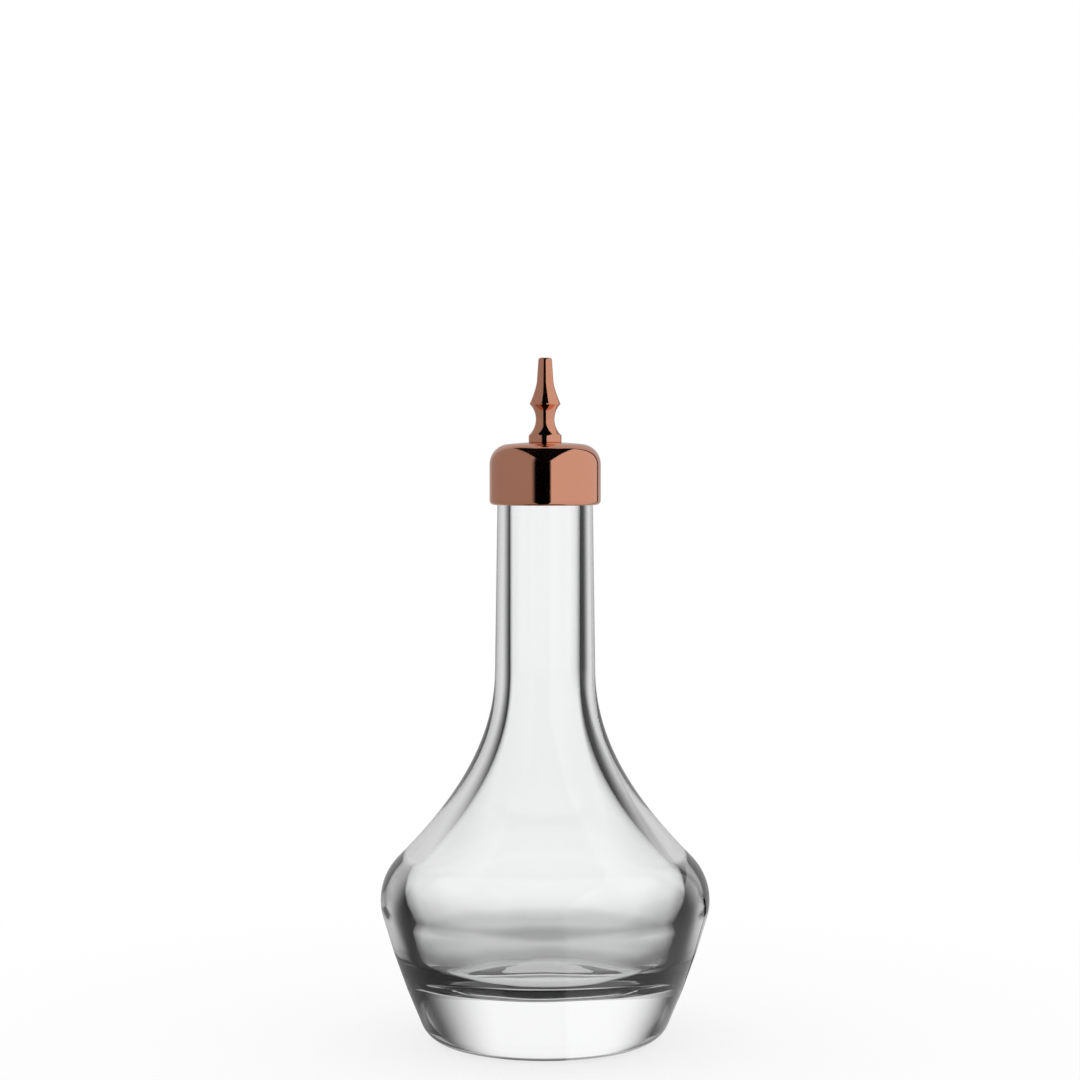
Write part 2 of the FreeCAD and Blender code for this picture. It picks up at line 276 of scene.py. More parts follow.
class Lathe:
    """Turns profiles into closed meshes with one Geometry Nodes tree."""

    SEW_METRES = 1e-7
    FADE_LENGTH = 20.0
    RIPPLE_DETAIL = 1.0
    NOISE_MIDDLE = 0.5
    INNER_MARK = "inner_skin"

    def __init__(self) -> None:
        """Build the tree."""
        self.tree = bpy.data.node_groups.new("turned_piece", "GeometryNodeTree")
        self.keys: Dict[str, str] = {}
        self._sockets()
        self._nodes()

    def _sockets(self) -> None:
        face = self.tree.interface
        face.new_socket("Geometry", in_out="INPUT", socket_type="NodeSocketGeometry")
        kinds = {
            "Profile": "NodeSocketObject",
            "Rows": "NodeSocketInt",
            "Segments": "NodeSocketInt",
            "First Rippled Row": "NodeSocketInt",
            "Ripple": "NodeSocketFloat",
            "Ripple Size": "NodeSocketFloat",
            "Ripple Top": "NodeSocketFloat",
            "Material": "NodeSocketMaterial",
        }
        for name, kind in kinds.items():
            self.keys[name] = face.new_socket(name, in_out="INPUT", socket_type=kind).identifier
        face.new_socket("Geometry", in_out="OUTPUT", socket_type="NodeSocketGeometry")

    def _nodes(self) -> None:
        """Write the nodes: a grid is rolled round the axis along the profile and its inner skin rippled."""
        w = NodeWriter(self.tree)
        given = w.add("NodeGroupInput").outputs
        grid = w.add("GeometryNodeMeshGrid")
        w.link(w.math("ADD", given["Segments"], 1.0), grid.inputs["Vertices X"])
        w.link(given["Rows"], grid.inputs["Vertices Y"])
        index = w.add("GeometryNodeInputIndex").outputs[0]
        row = w.math("FLOORED_MODULO", index, given["Rows"])
        column = w.math("FLOOR", w.math("DIVIDE", index, given["Rows"]))
        angle = w.math("DIVIDE", w.math("MULTIPLY", column, math.tau), given["Segments"])

        section = w.add("GeometryNodeObjectInfo")
        w.link(given["Profile"], section.inputs["Object"])
        sample = w.add("GeometryNodeSampleIndex", data_type="FLOAT_VECTOR", domain="POINT")
        w.link(section.outputs["Geometry"], sample.inputs["Geometry"])
        w.link(w.add("GeometryNodeInputPosition").outputs[0], sample.inputs["Value"])
        w.link(row, sample.inputs["Index"])
        split = w.add("ShaderNodeSeparateXYZ")
        w.link(sample.outputs[0], split.inputs[0])
        place = w.add("ShaderNodeCombineXYZ")
        w.link(w.math("MULTIPLY", split.outputs["X"], w.math("COSINE", angle)), place.inputs["X"])
        w.link(w.math("MULTIPLY", split.outputs["X"], w.math("SINE", angle)), place.inputs["Y"])
        w.link(split.outputs["Z"], place.inputs["Z"])

        inner = w.add("FunctionNodeCompare", data_type="FLOAT", operation="GREATER_EQUAL")
        w.link(row, inner.inputs["A"])
        w.link(given["First Rippled Row"], inner.inputs["B"])
        marked = w.add("GeometryNodeStoreNamedAttribute", data_type="BOOLEAN", domain="POINT")
        marked.inputs["Name"].default_value = self.INNER_MARK
        w.link(grid.outputs["Mesh"], marked.inputs["Geometry"])
        w.link(inner.outputs[0], marked.inputs["Value"])
        rolled = w.add("GeometryNodeSetPosition")
        w.link(marked.outputs[0], rolled.inputs["Geometry"])
        w.link(place.outputs[0], rolled.inputs["Position"])
        sewn = w.add("GeometryNodeMergeByDistance")
        sewn.inputs["Distance"].default_value = self.SEW_METRES
        w.link(rolled.outputs[0], sewn.inputs["Geometry"])

        where = w.add("GeometryNodeInputPosition").outputs[0]
        noise = w.add("ShaderNodeTexNoise", noise_dimensions="3D")
        noise.inputs["Detail"].default_value = self.RIPPLE_DETAIL
        w.link(where, noise.inputs["Vector"])
        w.link(w.math("DIVIDE", 1.0, given["Ripple Size"]), noise.inputs["Scale"])
        height = w.add("ShaderNodeSeparateXYZ")
        w.link(where, height.inputs[0])
        below = w.math("SUBTRACT", given["Ripple Top"], height.outputs["Z"])
        fade = w.remap(below, 0.0, self.FADE_LENGTH * MM, 0.0, 1.0, smooth=True)
        depth = w.math("MULTIPLY", given["Ripple"], fade)
        swing = w.math("MULTIPLY", w.math("SUBTRACT", noise.outputs[0], self.NOISE_MIDDLE), depth)
        push = w.add("ShaderNodeVectorMath", operation="SCALE")
        w.link(w.add("GeometryNodeInputNormal").outputs[0], push.inputs[0])
        w.link(swing, push.inputs["Scale"])
        flag = w.add("GeometryNodeInputNamedAttribute", data_type="BOOLEAN")
        flag.inputs["Name"].default_value = self.INNER_MARK
        rippled = w.add("GeometryNodeSetPosition")
        w.link(sewn.outputs[0], rippled.inputs["Geometry"])
        w.link(flag.outputs[0], rippled.inputs["Selection"])
        w.link(push.outputs[0], rippled.inputs["Offset"])

        smooth = w.add("GeometryNodeSetShadeSmooth")
        w.link(rippled.outputs[0], smooth.inputs["Geometry"])
        real = w.add("GeometryNodeRealizeInstances")
        w.link(smooth.outputs[0], real.inputs[0])
        dressed = w.add("GeometryNodeSetMaterial")
        w.link(real.outputs[0], dressed.inputs["Geometry"])
        w.link(given["Material"], dressed.inputs["Material"])
        w.link(dressed.outputs[0], w.add("NodeGroupOutput").inputs[0])

    def turn(self, name: str, profile: Profile, material: bpy.types.Material, segments: int,
             first_rippled: Optional[int] = None, ripple: float = 0.0,
             ripple_size: float = 10.0, ripple_top: float = 0.0) -> bpy.types.Object:
        """Turn a profile into a piece.

        Args:
            name: The piece's name.
            profile: Its half-section.
            material: Its finish.
            segments: How many steps go round.
            first_rippled: First profile row that is rippled, or None for none.
            ripple: Depth of the ripple, in millimetres.
            ripple_size: Size of one ripple, in millimetres.
            ripple_top: Height above which nothing ripples, in millimetres.

        Returns:
            The new object, with a plain mesh.
        """
        rows = profile.points
        curve = bpy.data.curves.new(name + "_section", "CURVE")
        curve.dimensions = "3D"
        spline = curve.splines.new("POLY")
        spline.points.add(len(rows) - 1)
        for target, (r, z) in zip(spline.points, rows):
            target.co = (r * MM, 0.0, z * MM, 1.0)
        section = bpy.data.objects.new(name + "_section", curve)
        bpy.context.scene.collection.objects.link(section)

        piece = bpy.data.objects.new(name, bpy.data.meshes.new(name))
        bpy.context.scene.collection.objects.link(piece)
        values = {
            "Profile": section,
            "Rows": len(rows),
            "Segments": segments,
            "First Rippled Row": len(rows) if first_rippled is None else first_rippled,
            "Ripple": ripple * MM,
            "Ripple Size": ripple_size * MM,
            "Ripple Top": ripple_top * MM,
            "Material": material,
        }
        modifier = piece.modifiers.new("turned", "NODES")
        modifier.node_group = self.tree
        for label, value in values.items():
            modifier[self.keys[label]] = value
        self._bake(piece)
        bpy.data.objects.remove(section)
        bpy.data.curves.remove(curve)
        return piece

    @staticmethod
    def _bake(piece: bpy.types.Object) -> None:
        """Replace a piece's modifier with the mesh it makes, faces outwards.

        Args:
            piece: The piece.
        """
        bpy.context.view_layer.update()
        ready = piece.evaluated_get(bpy.context.evaluated_depsgraph_get())
        mesh = bpy.data.meshes.new_from_object(ready)
        piece.modifiers.clear()
        old = piece.data
        piece.data = mesh
        bpy.data.meshes.remove(old)
        mesh.name = piece.name
        work = bmesh.new()
        work.from_mesh(mesh)
        bmesh.ops.recalc_face_normals(work, faces=work.faces)
        work.to_mesh(mesh)
        work.free()


class SurfaceGroups:
    """Shader node groups that more than one finish uses, with their scales per metre."""

    MOTTLE_DETAIL = 4.0
    MOTTLE_LIMITS = (0.3, 0.7)
    LINE_DETAIL = 3.0
    MARK_DETAIL = 6.0
    MARK_WARP = 1.5
    MARK_LIMITS = (0.56, 0.66)

    def __init__(self) -> None:
        """Build the groups."""
        self.mottle = self._mottle()
        self.hairlines = self._hairlines()

    @staticmethod
    def _start(name: str, inputs: Dict[str, float],
               outputs: List[str]) -> Tuple[bpy.types.NodeTree, NodeWriter]:
        """Start a shader group with float sockets.

        Args:
            name: The group's name.
            inputs: Input names with their default values.
            outputs: Output names.

        Returns:
            The group and a writer for it.
        """
        group = bpy.data.node_groups.new(name, "ShaderNodeTree")
        for label, value in inputs.items():
            socket = group.interface.new_socket(label, in_out="INPUT", socket_type="NodeSocketFloat")
            socket.default_value = value
        for label in outputs:
            group.interface.new_socket(label, in_out="OUTPUT", socket_type="NodeSocketFloat")
        return group, NodeWriter(group)

    def _mottle(self) -> bpy.types.NodeTree:
        """Make a group that varies a value softly between two limits over the surface.

        Returns:
            The group.
        """
        group, w = self._start("soft_mottle", {"Scale": 80.0, "Low": 0.0, "High": 1.0}, ["Value", "Height"])
        given = w.add("NodeGroupInput").outputs
        noise = w.add("ShaderNodeTexNoise")
        noise.inputs["Detail"].default_value = self.MOTTLE_DETAIL
        w.link(w.add("ShaderNodeTexCoord").outputs["Object"], noise.inputs["Vector"])
        w.link(given["Scale"], noise.inputs["Scale"])
        spread = w.remap(noise.outputs[0], *self.MOTTLE_LIMITS, 0.0, 1.0)
        span = w.math("SUBTRACT", given["High"], given["Low"])
        done = w.add("NodeGroupOutput").inputs
        w.link(w.math("MULTIPLY_ADD", spread, span, given["Low"]), done["Value"])
        w.link(noise.outputs[0], done["Height"])
        return group

    def _hairlines(self) -> bpy.types.NodeTree:
        """Make a group of fine turning lines round the axis and stray rubbing marks.

        Returns:
            The group.
        """
        group, w = self._start("hairlines", {"Pitch": 9000.0, "Marks": 400.0}, ["Lines", "Marks"])
        given = w.add("NodeGroupInput").outputs
        where = w.add("ShaderNodeTexCoord").outputs["Object"]
        split = w.add("ShaderNodeSeparateXYZ")
        w.link(where, split.inputs[0])
        across = w.add("ShaderNodeVectorMath", operation="LENGTH")
        flat = w.add("ShaderNodeCombineXYZ")
        w.link(split.outputs["X"], flat.inputs["X"])
        w.link(split.outputs["Y"], flat.inputs["Y"])
        w.link(flat.outputs[0], across.inputs[0])
        run = w.math("ADD", split.outputs["Z"], across.outputs["Value"])
        lines = w.add("ShaderNodeTexNoise", noise_dimensions="1D")
        lines.inputs["Detail"].default_value = self.LINE_DETAIL
        w.link(run, lines.inputs["W"])
        w.link(given["Pitch"], lines.inputs["Scale"])
        marks = w.add("ShaderNodeTexNoise")
        marks.inputs["Detail"].default_value = self.MARK_DETAIL
        marks.inputs["Distortion"].default_value = self.MARK_WARP
        w.link(where, marks.inputs["Vector"])
        w.link(given["Marks"], marks.inputs["Scale"])
        done = w.add("NodeGroupOutput").inputs
        w.link(lines.outputs[0], done["Lines"])
        w.link(w.remap(marks.outputs[0], *self.MARK_LIMITS, 0.0, 1.0), done["Marks"])
        return group


def start_material(name: str) -> Tuple[bpy.types.Material, NodeWriter, bpy.types.Node]:
    """Start a material.

    Args:
        name: The material's name.

    Returns:
        The material, a writer for its nodes and its Principled BSDF.
    """
    material = bpy.data.materials.new(name)
    material.use_nodes = True
    shader = material.node_tree.nodes["Principled BSDF"]
    return material, NodeWriter(material.node_tree), shader


def place_group(w: NodeWriter, group: bpy.types.NodeTree, **values: float) -> bpy.types.Node:
    """Place a shader group in a material.

    Args:
        w: Writer of the material's nodes.
        group: The group.
        values: Its inputs, with underscores for spaces.

    Returns:
        The group node.
    """
    node = w.add("ShaderNodeGroup", node_tree=group)
    for name, value in values.items():
        node.inputs[name.replace("_", " ")].default_value = value
    return node


def add_bump(w: NodeWriter, shader: bpy.types.Node, height: bpy.types.NodeSocket,
             strength: float, distance: float) -> None:
    """Feed a height through a Bump node to a shader's normal.

    Args:
        w: Writer of the material's nodes.
        shader: The Principled BSDF.
        height: The height's socket.
        strength: The bump's strength.
        distance: The bump's depth in metres.
    """
    bump = w.add("ShaderNodeBump")
    bump.inputs["Strength"].default_value = strength
    bump.inputs["Distance"].default_value = distance
    w.link(height, bump.inputs["Height"])
    w.link(bump.outputs[0], shader.inputs["Normal"])


def two_tone(w: NodeWriter, shader: bpy.types.Node, colour: Colour, dulled: float,
             share: bpy.types.NodeSocket) -> None:
    """Feed a colour that dulls a little over the surface to a shader's base colour.

    Args:
        w: Writer of the material's nodes.
        shader: The Principled BSDF.
        colour: The colour.
        dulled: What is left of it where it is dullest.
        share: How dull it is at each place.
    """
    shade = w.add("ShaderNodeMix", data_type="RGBA")
    shade.inputs["A"].default_value = (*colour, 1.0)
    shade.inputs["B"].default_value = (*(c * dulled for c in colour), 1.0)
    w.link(share, shade.inputs["Factor"])
    w.link(shade.outputs["Result"], shader.inputs["Base Color"])


@dataclass(frozen=True)
class GlassFinish:
    """Clear, fire-polished glass with the faintest unevenness.

    Depths are in metres, scales per metre.
    """

    groups: SurfaceGroups
    tint: Colour = (0.994, 0.998, 0.997)
    ior: float = 1.52
    roughest: float = 0.012
    wave_scale: float = 60.0
    wave_strength: float = 0.3
    wave_depth: float = 0.00002

    def material(self) -> bpy.types.Material:
        """Make the finish.

        Returns:
            The finish as a material.
        """
        material, w, shader = start_material("clear_glass")
        shader.inputs["Base Color"].default_value = (*self.tint, 1.0)
        shader.inputs["Transmission Weight"].default_value = 1.0
        shader.inputs["IOR"].default_value = self.ior
        mottle = place_group(w, self.groups.mottle, Scale=self.wave_scale, Low=0.0, High=self.roughest)
        w.link(mottle.outputs["Value"], shader.inputs["Roughness"])
        add_bump(w, shader, mottle.outputs["Height"], self.wave_strength, self.wave_depth)
        return material


@dataclass(frozen=True)
class MetalFinish:
    """A polished or machined metal with turning lines and rubbing marks.

    Depths are in metres, scales and pitches per metre.
    """

    groups: SurfaceGroups
    name: str
    colour: Colour
    polish: float
    rubbed: float
    line_depth: float
    line_strength: float = 0.4
    line_pitch: float = 9000.0
    mark_scale: float = 400.0
    mottle_scale: float = 140.0
    polish_spread: Span = (0.8, 1.3)
    dulled: float = 0.94

    def material(self) -> bpy.types.Material:
        """Make the finish.

        Returns:
            The finish as a material.
        """
        material, w, shader = start_material(self.name)
        shader.inputs["Metallic"].default_value = 1.0
        low, high = (self.polish * share for share in self.polish_spread)
        mottle = place_group(w, self.groups.mottle, Scale=self.mottle_scale, Low=low, High=high)
        hair = place_group(w, self.groups.hairlines, Pitch=self.line_pitch, Marks=self.mark_scale)
        w.link(w.math("MULTIPLY_ADD", hair.outputs["Marks"], self.rubbed, mottle.outputs["Value"]),
               shader.inputs["Roughness"])
        two_tone(w, shader, self.colour, self.dulled, mottle.outputs["Height"])
        add_bump(w, shader, hair.outputs["Lines"], self.line_strength, self.line_depth)
        return material


@dataclass(frozen=True)
class MouldedFinish:
    """A moulded plastic or soft rubber with a fine satin grain.

    Depths are in metres, scales per metre.
    """

    groups: SurfaceGroups
    name: str
    colour: Colour
    rough: float
    subsurface: float
    grain: float
    grain_strength: float = 0.3
    grain_scale: float = 2500.0
    cloud_scale: float = 220.0
    rough_spread: Span = (0.9, 1.15)
    clouded: float = 0.9
    glow_depth: float = 0.002

    def material(self) -> bpy.types.Material:
        """Make the finish.

        Returns:
            The finish as a material.
        """
        material, w, shader = start_material(self.name)
        shader.inputs["Subsurface Weight"].default_value = self.subsurface
        shader.inputs["Subsurface Scale"].default_value = self.glow_depth
        low, high = (self.rough * share for share in self.rough_spread)
        fine = place_group(w, self.groups.mottle, Scale=self.grain_scale, Low=low, High=high)
        broad = place_group(w, self.groups.mottle, Scale=self.cloud_scale)
        two_tone(w, shader, self.colour, self.clouded, broad.outputs["Value"])
        w.link(fine.outputs["Value"], shader.inputs["Roughness"])
        add_bump(w, shader, fine.outputs["Height"], self.grain_strength, self.grain)
        return material


@dataclass
class GlassBottle:
    """The bottle: its outer skin, its rim and its cavity, in millimetres."""

    lathe: Lathe
    finish: bpy.types.Material
    standing_radius: float = 20.7
    standing_width: float = 3.0
    push_up: float = 1.0
    heel_round: float = 6.1
    flank_round: float = 167.0
    belly_radius: float = 35.0
    belly_height: float = 30.0
    belly_round: float = 12.3
    shoulder_slope: float = 45.5
    shoulder_rise: float = 48.4
    shoulder_low_pull: float = 13.8
    shoulder_high_pull: float = 16.9
    neck_length: float = 42.9
    rim_flat: float = 1.0
    mouth_radius: float = 7.45
    neck_foot_wall: float = 3.2
    neck_top_wall: float = 2.6
    side_wall: float = 5.0
    base_wall: float = 14.0
    floor_round: float = 9.5
    floor_rise: float = 2.0
    cavity_round: float = 9.2
    cavity_lift: float = 0.8
    cavity_slope: float = 41.2
    cavity_pull: float = 23.3
    bore_pull: float = 9.8
    segments: int = 288
    ripple: float = 0.5
    ripple_size: float = 14.0
    ripple_top: float = 40.0

    def flank_centre(self, heel: Point, belly: Point) -> Point:
        """Place the flank's arc so that it touches the heel's and the belly's circles.

        Args:
            heel: Centre of the heel's circle.
            belly: Centre of the belly's circle.

        Returns:
            The arc's centre.
        """
        to_heel = self.flank_round - self.heel_round
        to_belly = self.flank_round - self.belly_round
        apart = math.dist(heel, belly)
        along = (to_heel ** 2 - to_belly ** 2 + apart ** 2) / (2 * apart)
        return on_circle(heel, to_heel, bearing(heel, belly) + math.acos(along / to_heel))

    def inner_round(self, flank: Point, radius: float, z: float) -> Point:
        """Return the centre, at height z, of a round in the cavity that touches the inner flank's arc."""
        reach = self.flank_round - self.side_wall - radius
        return flank[0] + math.sqrt(reach ** 2 - (z - flank[1]) ** 2), z

    @staticmethod
    def dome_centre(radius: float, z: float, rise: float) -> Point:
        """Return the centre of a shallow dome that rises from a circle of the given radius at height z."""
        return 0.0, z + rise - (radius ** 2 + rise ** 2) / (2 * rise)

    def sections(self) -> Dict[Skin, Profile]:
        """Return the half-section in two parts that share their end on the rim.

        Returns:
            The outer skin from the base's centre to the rim, and the cavity from there to its floor's centre.
        """
        heel = (self.standing_radius, self.heel_round)
        belly = (self.belly_radius - self.belly_round, self.belly_height)
        flank = self.flank_centre(heel, belly)
        up = math.pi / 2
        slope = math.radians(90 - self.shoulder_slope)
        neck_z = self.belly_height + self.shoulder_rise
        foot = (self.mouth_radius + self.neck_foot_wall, neck_z)
        top = self.mouth_radius + self.neck_top_wall
        lean = math.atan2(foot[0] - top, self.neck_length)
        rim_round = (self.neck_top_wall - self.rim_flat) / 2
        rim_z = neck_z + self.neck_length - rim_round
        ring = self.standing_radius - self.standing_width
        under = self.dome_centre(ring, 0.0, self.push_up)
        low = (-math.sin(slope) * self.shoulder_low_pull, math.cos(slope) * self.shoulder_low_pull)
        high = (math.sin(lean) * self.shoulder_high_pull, -math.cos(lean) * self.shoulder_high_pull)
        skin_end = on_circle(belly, self.belly_round, slope)

        outer = Profile(0.0, self.push_up)
        outer.arc(under, self.push_up - under[1], up, bearing(under, (ring, 0.0)))
        outer.arc(heel, self.heel_round, -up, bearing(flank, heel))
        outer.arc(flank, self.flank_round, bearing(flank, heel), bearing(flank, belly))
        outer.arc(belly, self.belly_round, bearing(flank, belly), slope)
        outer.curve((skin_end[0] + low[0], skin_end[1] + low[1]),
                    (foot[0] + high[0], foot[1] + high[1]), foot)
        outer.arc((top - rim_round, rim_z), rim_round, 0.0, up)

        corner = self.inner_round(flank, self.floor_round, self.base_wall + self.floor_round)
        hollow = self.inner_round(flank, self.cavity_round, self.belly_height + self.cavity_lift)
        dome = self.dome_centre(corner[0], self.base_wall, self.floor_rise)
        lean_in = math.radians(90 - self.cavity_slope)
        end = on_circle(hollow, self.cavity_round, lean_in)
        pull = (-math.sin(lean_in) * self.cavity_pull, math.cos(lean_in) * self.cavity_pull)

        inner = Profile(*outer.points[-1])
        inner.arc((self.mouth_radius + rim_round, rim_z), rim_round, up, math.pi)
        inner.line(self.mouth_radius, neck_z)
        inner.curve((self.mouth_radius, neck_z - self.bore_pull), (end[0] + pull[0], end[1] + pull[1]), end)
        inner.arc(hollow, self.cavity_round, lean_in, bearing(flank, hollow))
        inner.arc(flank, self.flank_round - self.side_wall, bearing(flank, hollow), bearing(flank, corner))
        inner.arc(corner, self.floor_round, bearing(flank, corner), -up)
        inner.arc(dome, self.base_wall + self.floor_rise - dome[1],
                  bearing(dome, (corner[0], self.base_wall)), up)
        return {Skin.OUTER: outer, Skin.INNER: inner}

    def build(self) -> None:
        """Turn the bottle and put it in the glass node's place."""
        parts = self.sections()
        whole = Profile(*parts[Skin.OUTER].points[0])
        whole.points = parts[Skin.OUTER].points + parts[Skin.INNER].points[1:]
        piece = self.lathe.turn("bottle_glass", whole, self.finish, self.segments,
                                len(parts[Skin.OUTER].points), self.ripple, self.ripple_size, self.ripple_top)
        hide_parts("glass_bottle")
        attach(piece, "bottle")
        log.info("%s: %d faces", piece.name, len(piece.data.polygons))


@dataclass
class DasherTop:
    """The copper cap and its turned spout, in millimetres."""

    lathe: Lathe
    copper: bpy.types.Material
    washer_plastic: bpy.types.Material
    brass: bpy.types.Material
    skirt_radius: float = 11.8
    skirt_bottom: float = 113.9
    skirt_lip: float = 0.2
    cap_wall: float = 1.15
    shoulder_round: float = 4.3
    crown_round: float = 70.0
    ceiling: float = 125.9
    stud_hole: float = 2.6
    washer_radius: float = 4.5
    collar_radius: float = 3.5
    collar_height: float = 1.5
    cove_height: float = 6.6
    waist_radius: float = 1.98
    ridge_radius: float = 3.3
    ridge_land: float = 0.15
    flare_height: float = 4.8
    flare_radius: float = 1.75
    flare_bend_height: float = 3.1
    flare_bend_width: float = 0.15
    spout_length: float = 4.85
    tip_radius: float = 1.45
    tip_round: float = 0.5
    dash_bore: float = 0.7
    stud_radius: float = 2.5
    stud_bottom: float = 123.0
    tail_radius: float = 2.0
    tail_bore: float = 1.1
    barb_radius: float = 2.35
    barb_top: float = 116.5
    tail_end: float = 115.1
    edge: float = 0.12
    segments: int = 192

    def circles(self) -> Tuple[Point, Point]:
        """Place the cap's two arcs so that they touch each other.

        Returns:
            The centres of the shoulder's arc and of the crown's.
        """
        sag = math.sqrt((self.crown_round - self.cap_wall) ** 2 - self.washer_radius ** 2)
        crown = (0.0, self.ceiling - sag)
        r = self.skirt_radius - self.shoulder_round
        rise = math.sqrt((self.crown_round - self.shoulder_round) ** 2 - r ** 2)
        return (r, crown[1] + rise), crown

    def seat(self) -> float:
        """Return the height of the flat on the crown that the collar sits on."""
        return self.circles()[1][1] + math.sqrt(self.crown_round ** 2 - self.collar_radius ** 2)

    def cap(self) -> bpy.types.Object:
        """Turn the cap and put it in the cap node's place.

        Returns:
            The cap.
        """
        shoulder, crown = self.circles()
        meet = bearing(crown, shoulder)
        round_ = self.cap_wall - self.skirt_lip
        inner_r = self.skirt_radius - self.cap_wall
        shape = Profile(self.stud_hole, self.ceiling)
        shape.arc(crown, self.crown_round - self.cap_wall,
                  math.acos(self.washer_radius / (self.crown_round - self.cap_wall)), meet)
        shape.arc(shoulder, self.shoulder_round - self.cap_wall, meet, 0.0)
        shape.line(inner_r, self.skirt_bottom)
        shape.arc((self.skirt_radius - round_, self.skirt_bottom + round_), round_, -math.pi / 2, 0.0)
        shape.arc(shoulder, self.shoulder_round, 0.0, meet)
        shape.arc(crown, self.crown_round, meet, math.acos(self.collar_radius / self.crown_round))
        shape.line(self.stud_hole, self.seat())
        shape.close()
        piece = self.lathe.turn("dasher_cap", shape, self.copper, self.segments)
        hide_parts("cap_shell")
        return piece

    def spout(self) -> bpy.types.Object:
        """Turn the spout with its stud and tail and put it in the nozzle node's place.

        Returns:
            The spout.
        """
        seat = self.seat()
        collar = seat + self.collar_height
        ridge = collar + self.cove_height
        flare = ridge + self.ridge_land + self.flare_height
        tip = flare + self.spout_length
        bend = (self.flare_radius + self.flare_bend_width, ridge + self.ridge_land + self.flare_bend_height)
        e = self.edge
        quarter = math.pi / 2
        lip = (self.collar_radius, collar)
        waist = (self.waist_radius, collar + self.cove_height / 2)
        crest = (self.ridge_radius, ridge)

        shape = Profile(self.tail_bore, self.tail_end)
        shape.line(self.tail_radius, self.tail_end)
        shape.line(self.barb_radius, self.barb_top)
        shape.line(self.tail_radius, self.barb_top)
        shape.line(self.tail_radius, self.stud_bottom)
        shape.line(self.stud_radius, self.stud_bottom)
        shape.line(self.stud_radius, seat)
        shape.arc((self.collar_radius - e, seat + e), e, -quarter, 0.0)
        shape.line(self.collar_radius, collar - e)
        shape.bow(lip, waist, crest, e)
        shape.curve((self.ridge_radius, ridge + self.ridge_land / 2),
                    (self.ridge_radius - e / 2, ridge + self.ridge_land))
        shape.curve(bend, (self.flare_radius, flare))
        shape.arc((self.tip_radius - self.tip_round, tip - self.tip_round), self.tip_round, 0.0, quarter)
        shape.arc((self.dash_bore + e, tip - e), e, quarter, 2 * quarter)
        shape.line(self.dash_bore, seat)
        shape.line(self.tail_bore, seat)
        shape.close()
        piece = self.lathe.turn("dasher_spout", shape, self.copper, self.segments)
        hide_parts("nozzle")
        return piece

    def build(self) -> None:
        """Make the copper pieces and dress the hidden washer and nut."""
        for piece in (self.cap(), self.spout()):
            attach(piece, "dasher")
            log.info("%s: %d faces", piece.name, len(piece.data.polygons))
        dress_node("nozzle_washer", self.washer_plastic)
        dress_node("nozzle_nut", self.brass)


@dataclass
class Stopper:
    """The plug in the mouth, with its gasket and seal rings."""

    plastic: bpy.types.Material
    silicone: bpy.types.Material

    def build(self) -> None:
        """Dress the plug's pieces."""
        dress_node("stopper_core", self.plastic)
        for name in ("rim_gasket", "upper_seal_ring", "lower_seal_ring"):
            dress_node(name, self.silicone)


def dress_node(name: str, material: bpy.types.Material) -> None:
    """Give a CAD node its finish.

    Args:
        name: The node's name.
        material: The finish.
    """
    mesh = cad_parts[name].data
    mesh.materials.clear()
    mesh.materials.append(material)
    log.info("%s: dressed with %s", name, material.name)


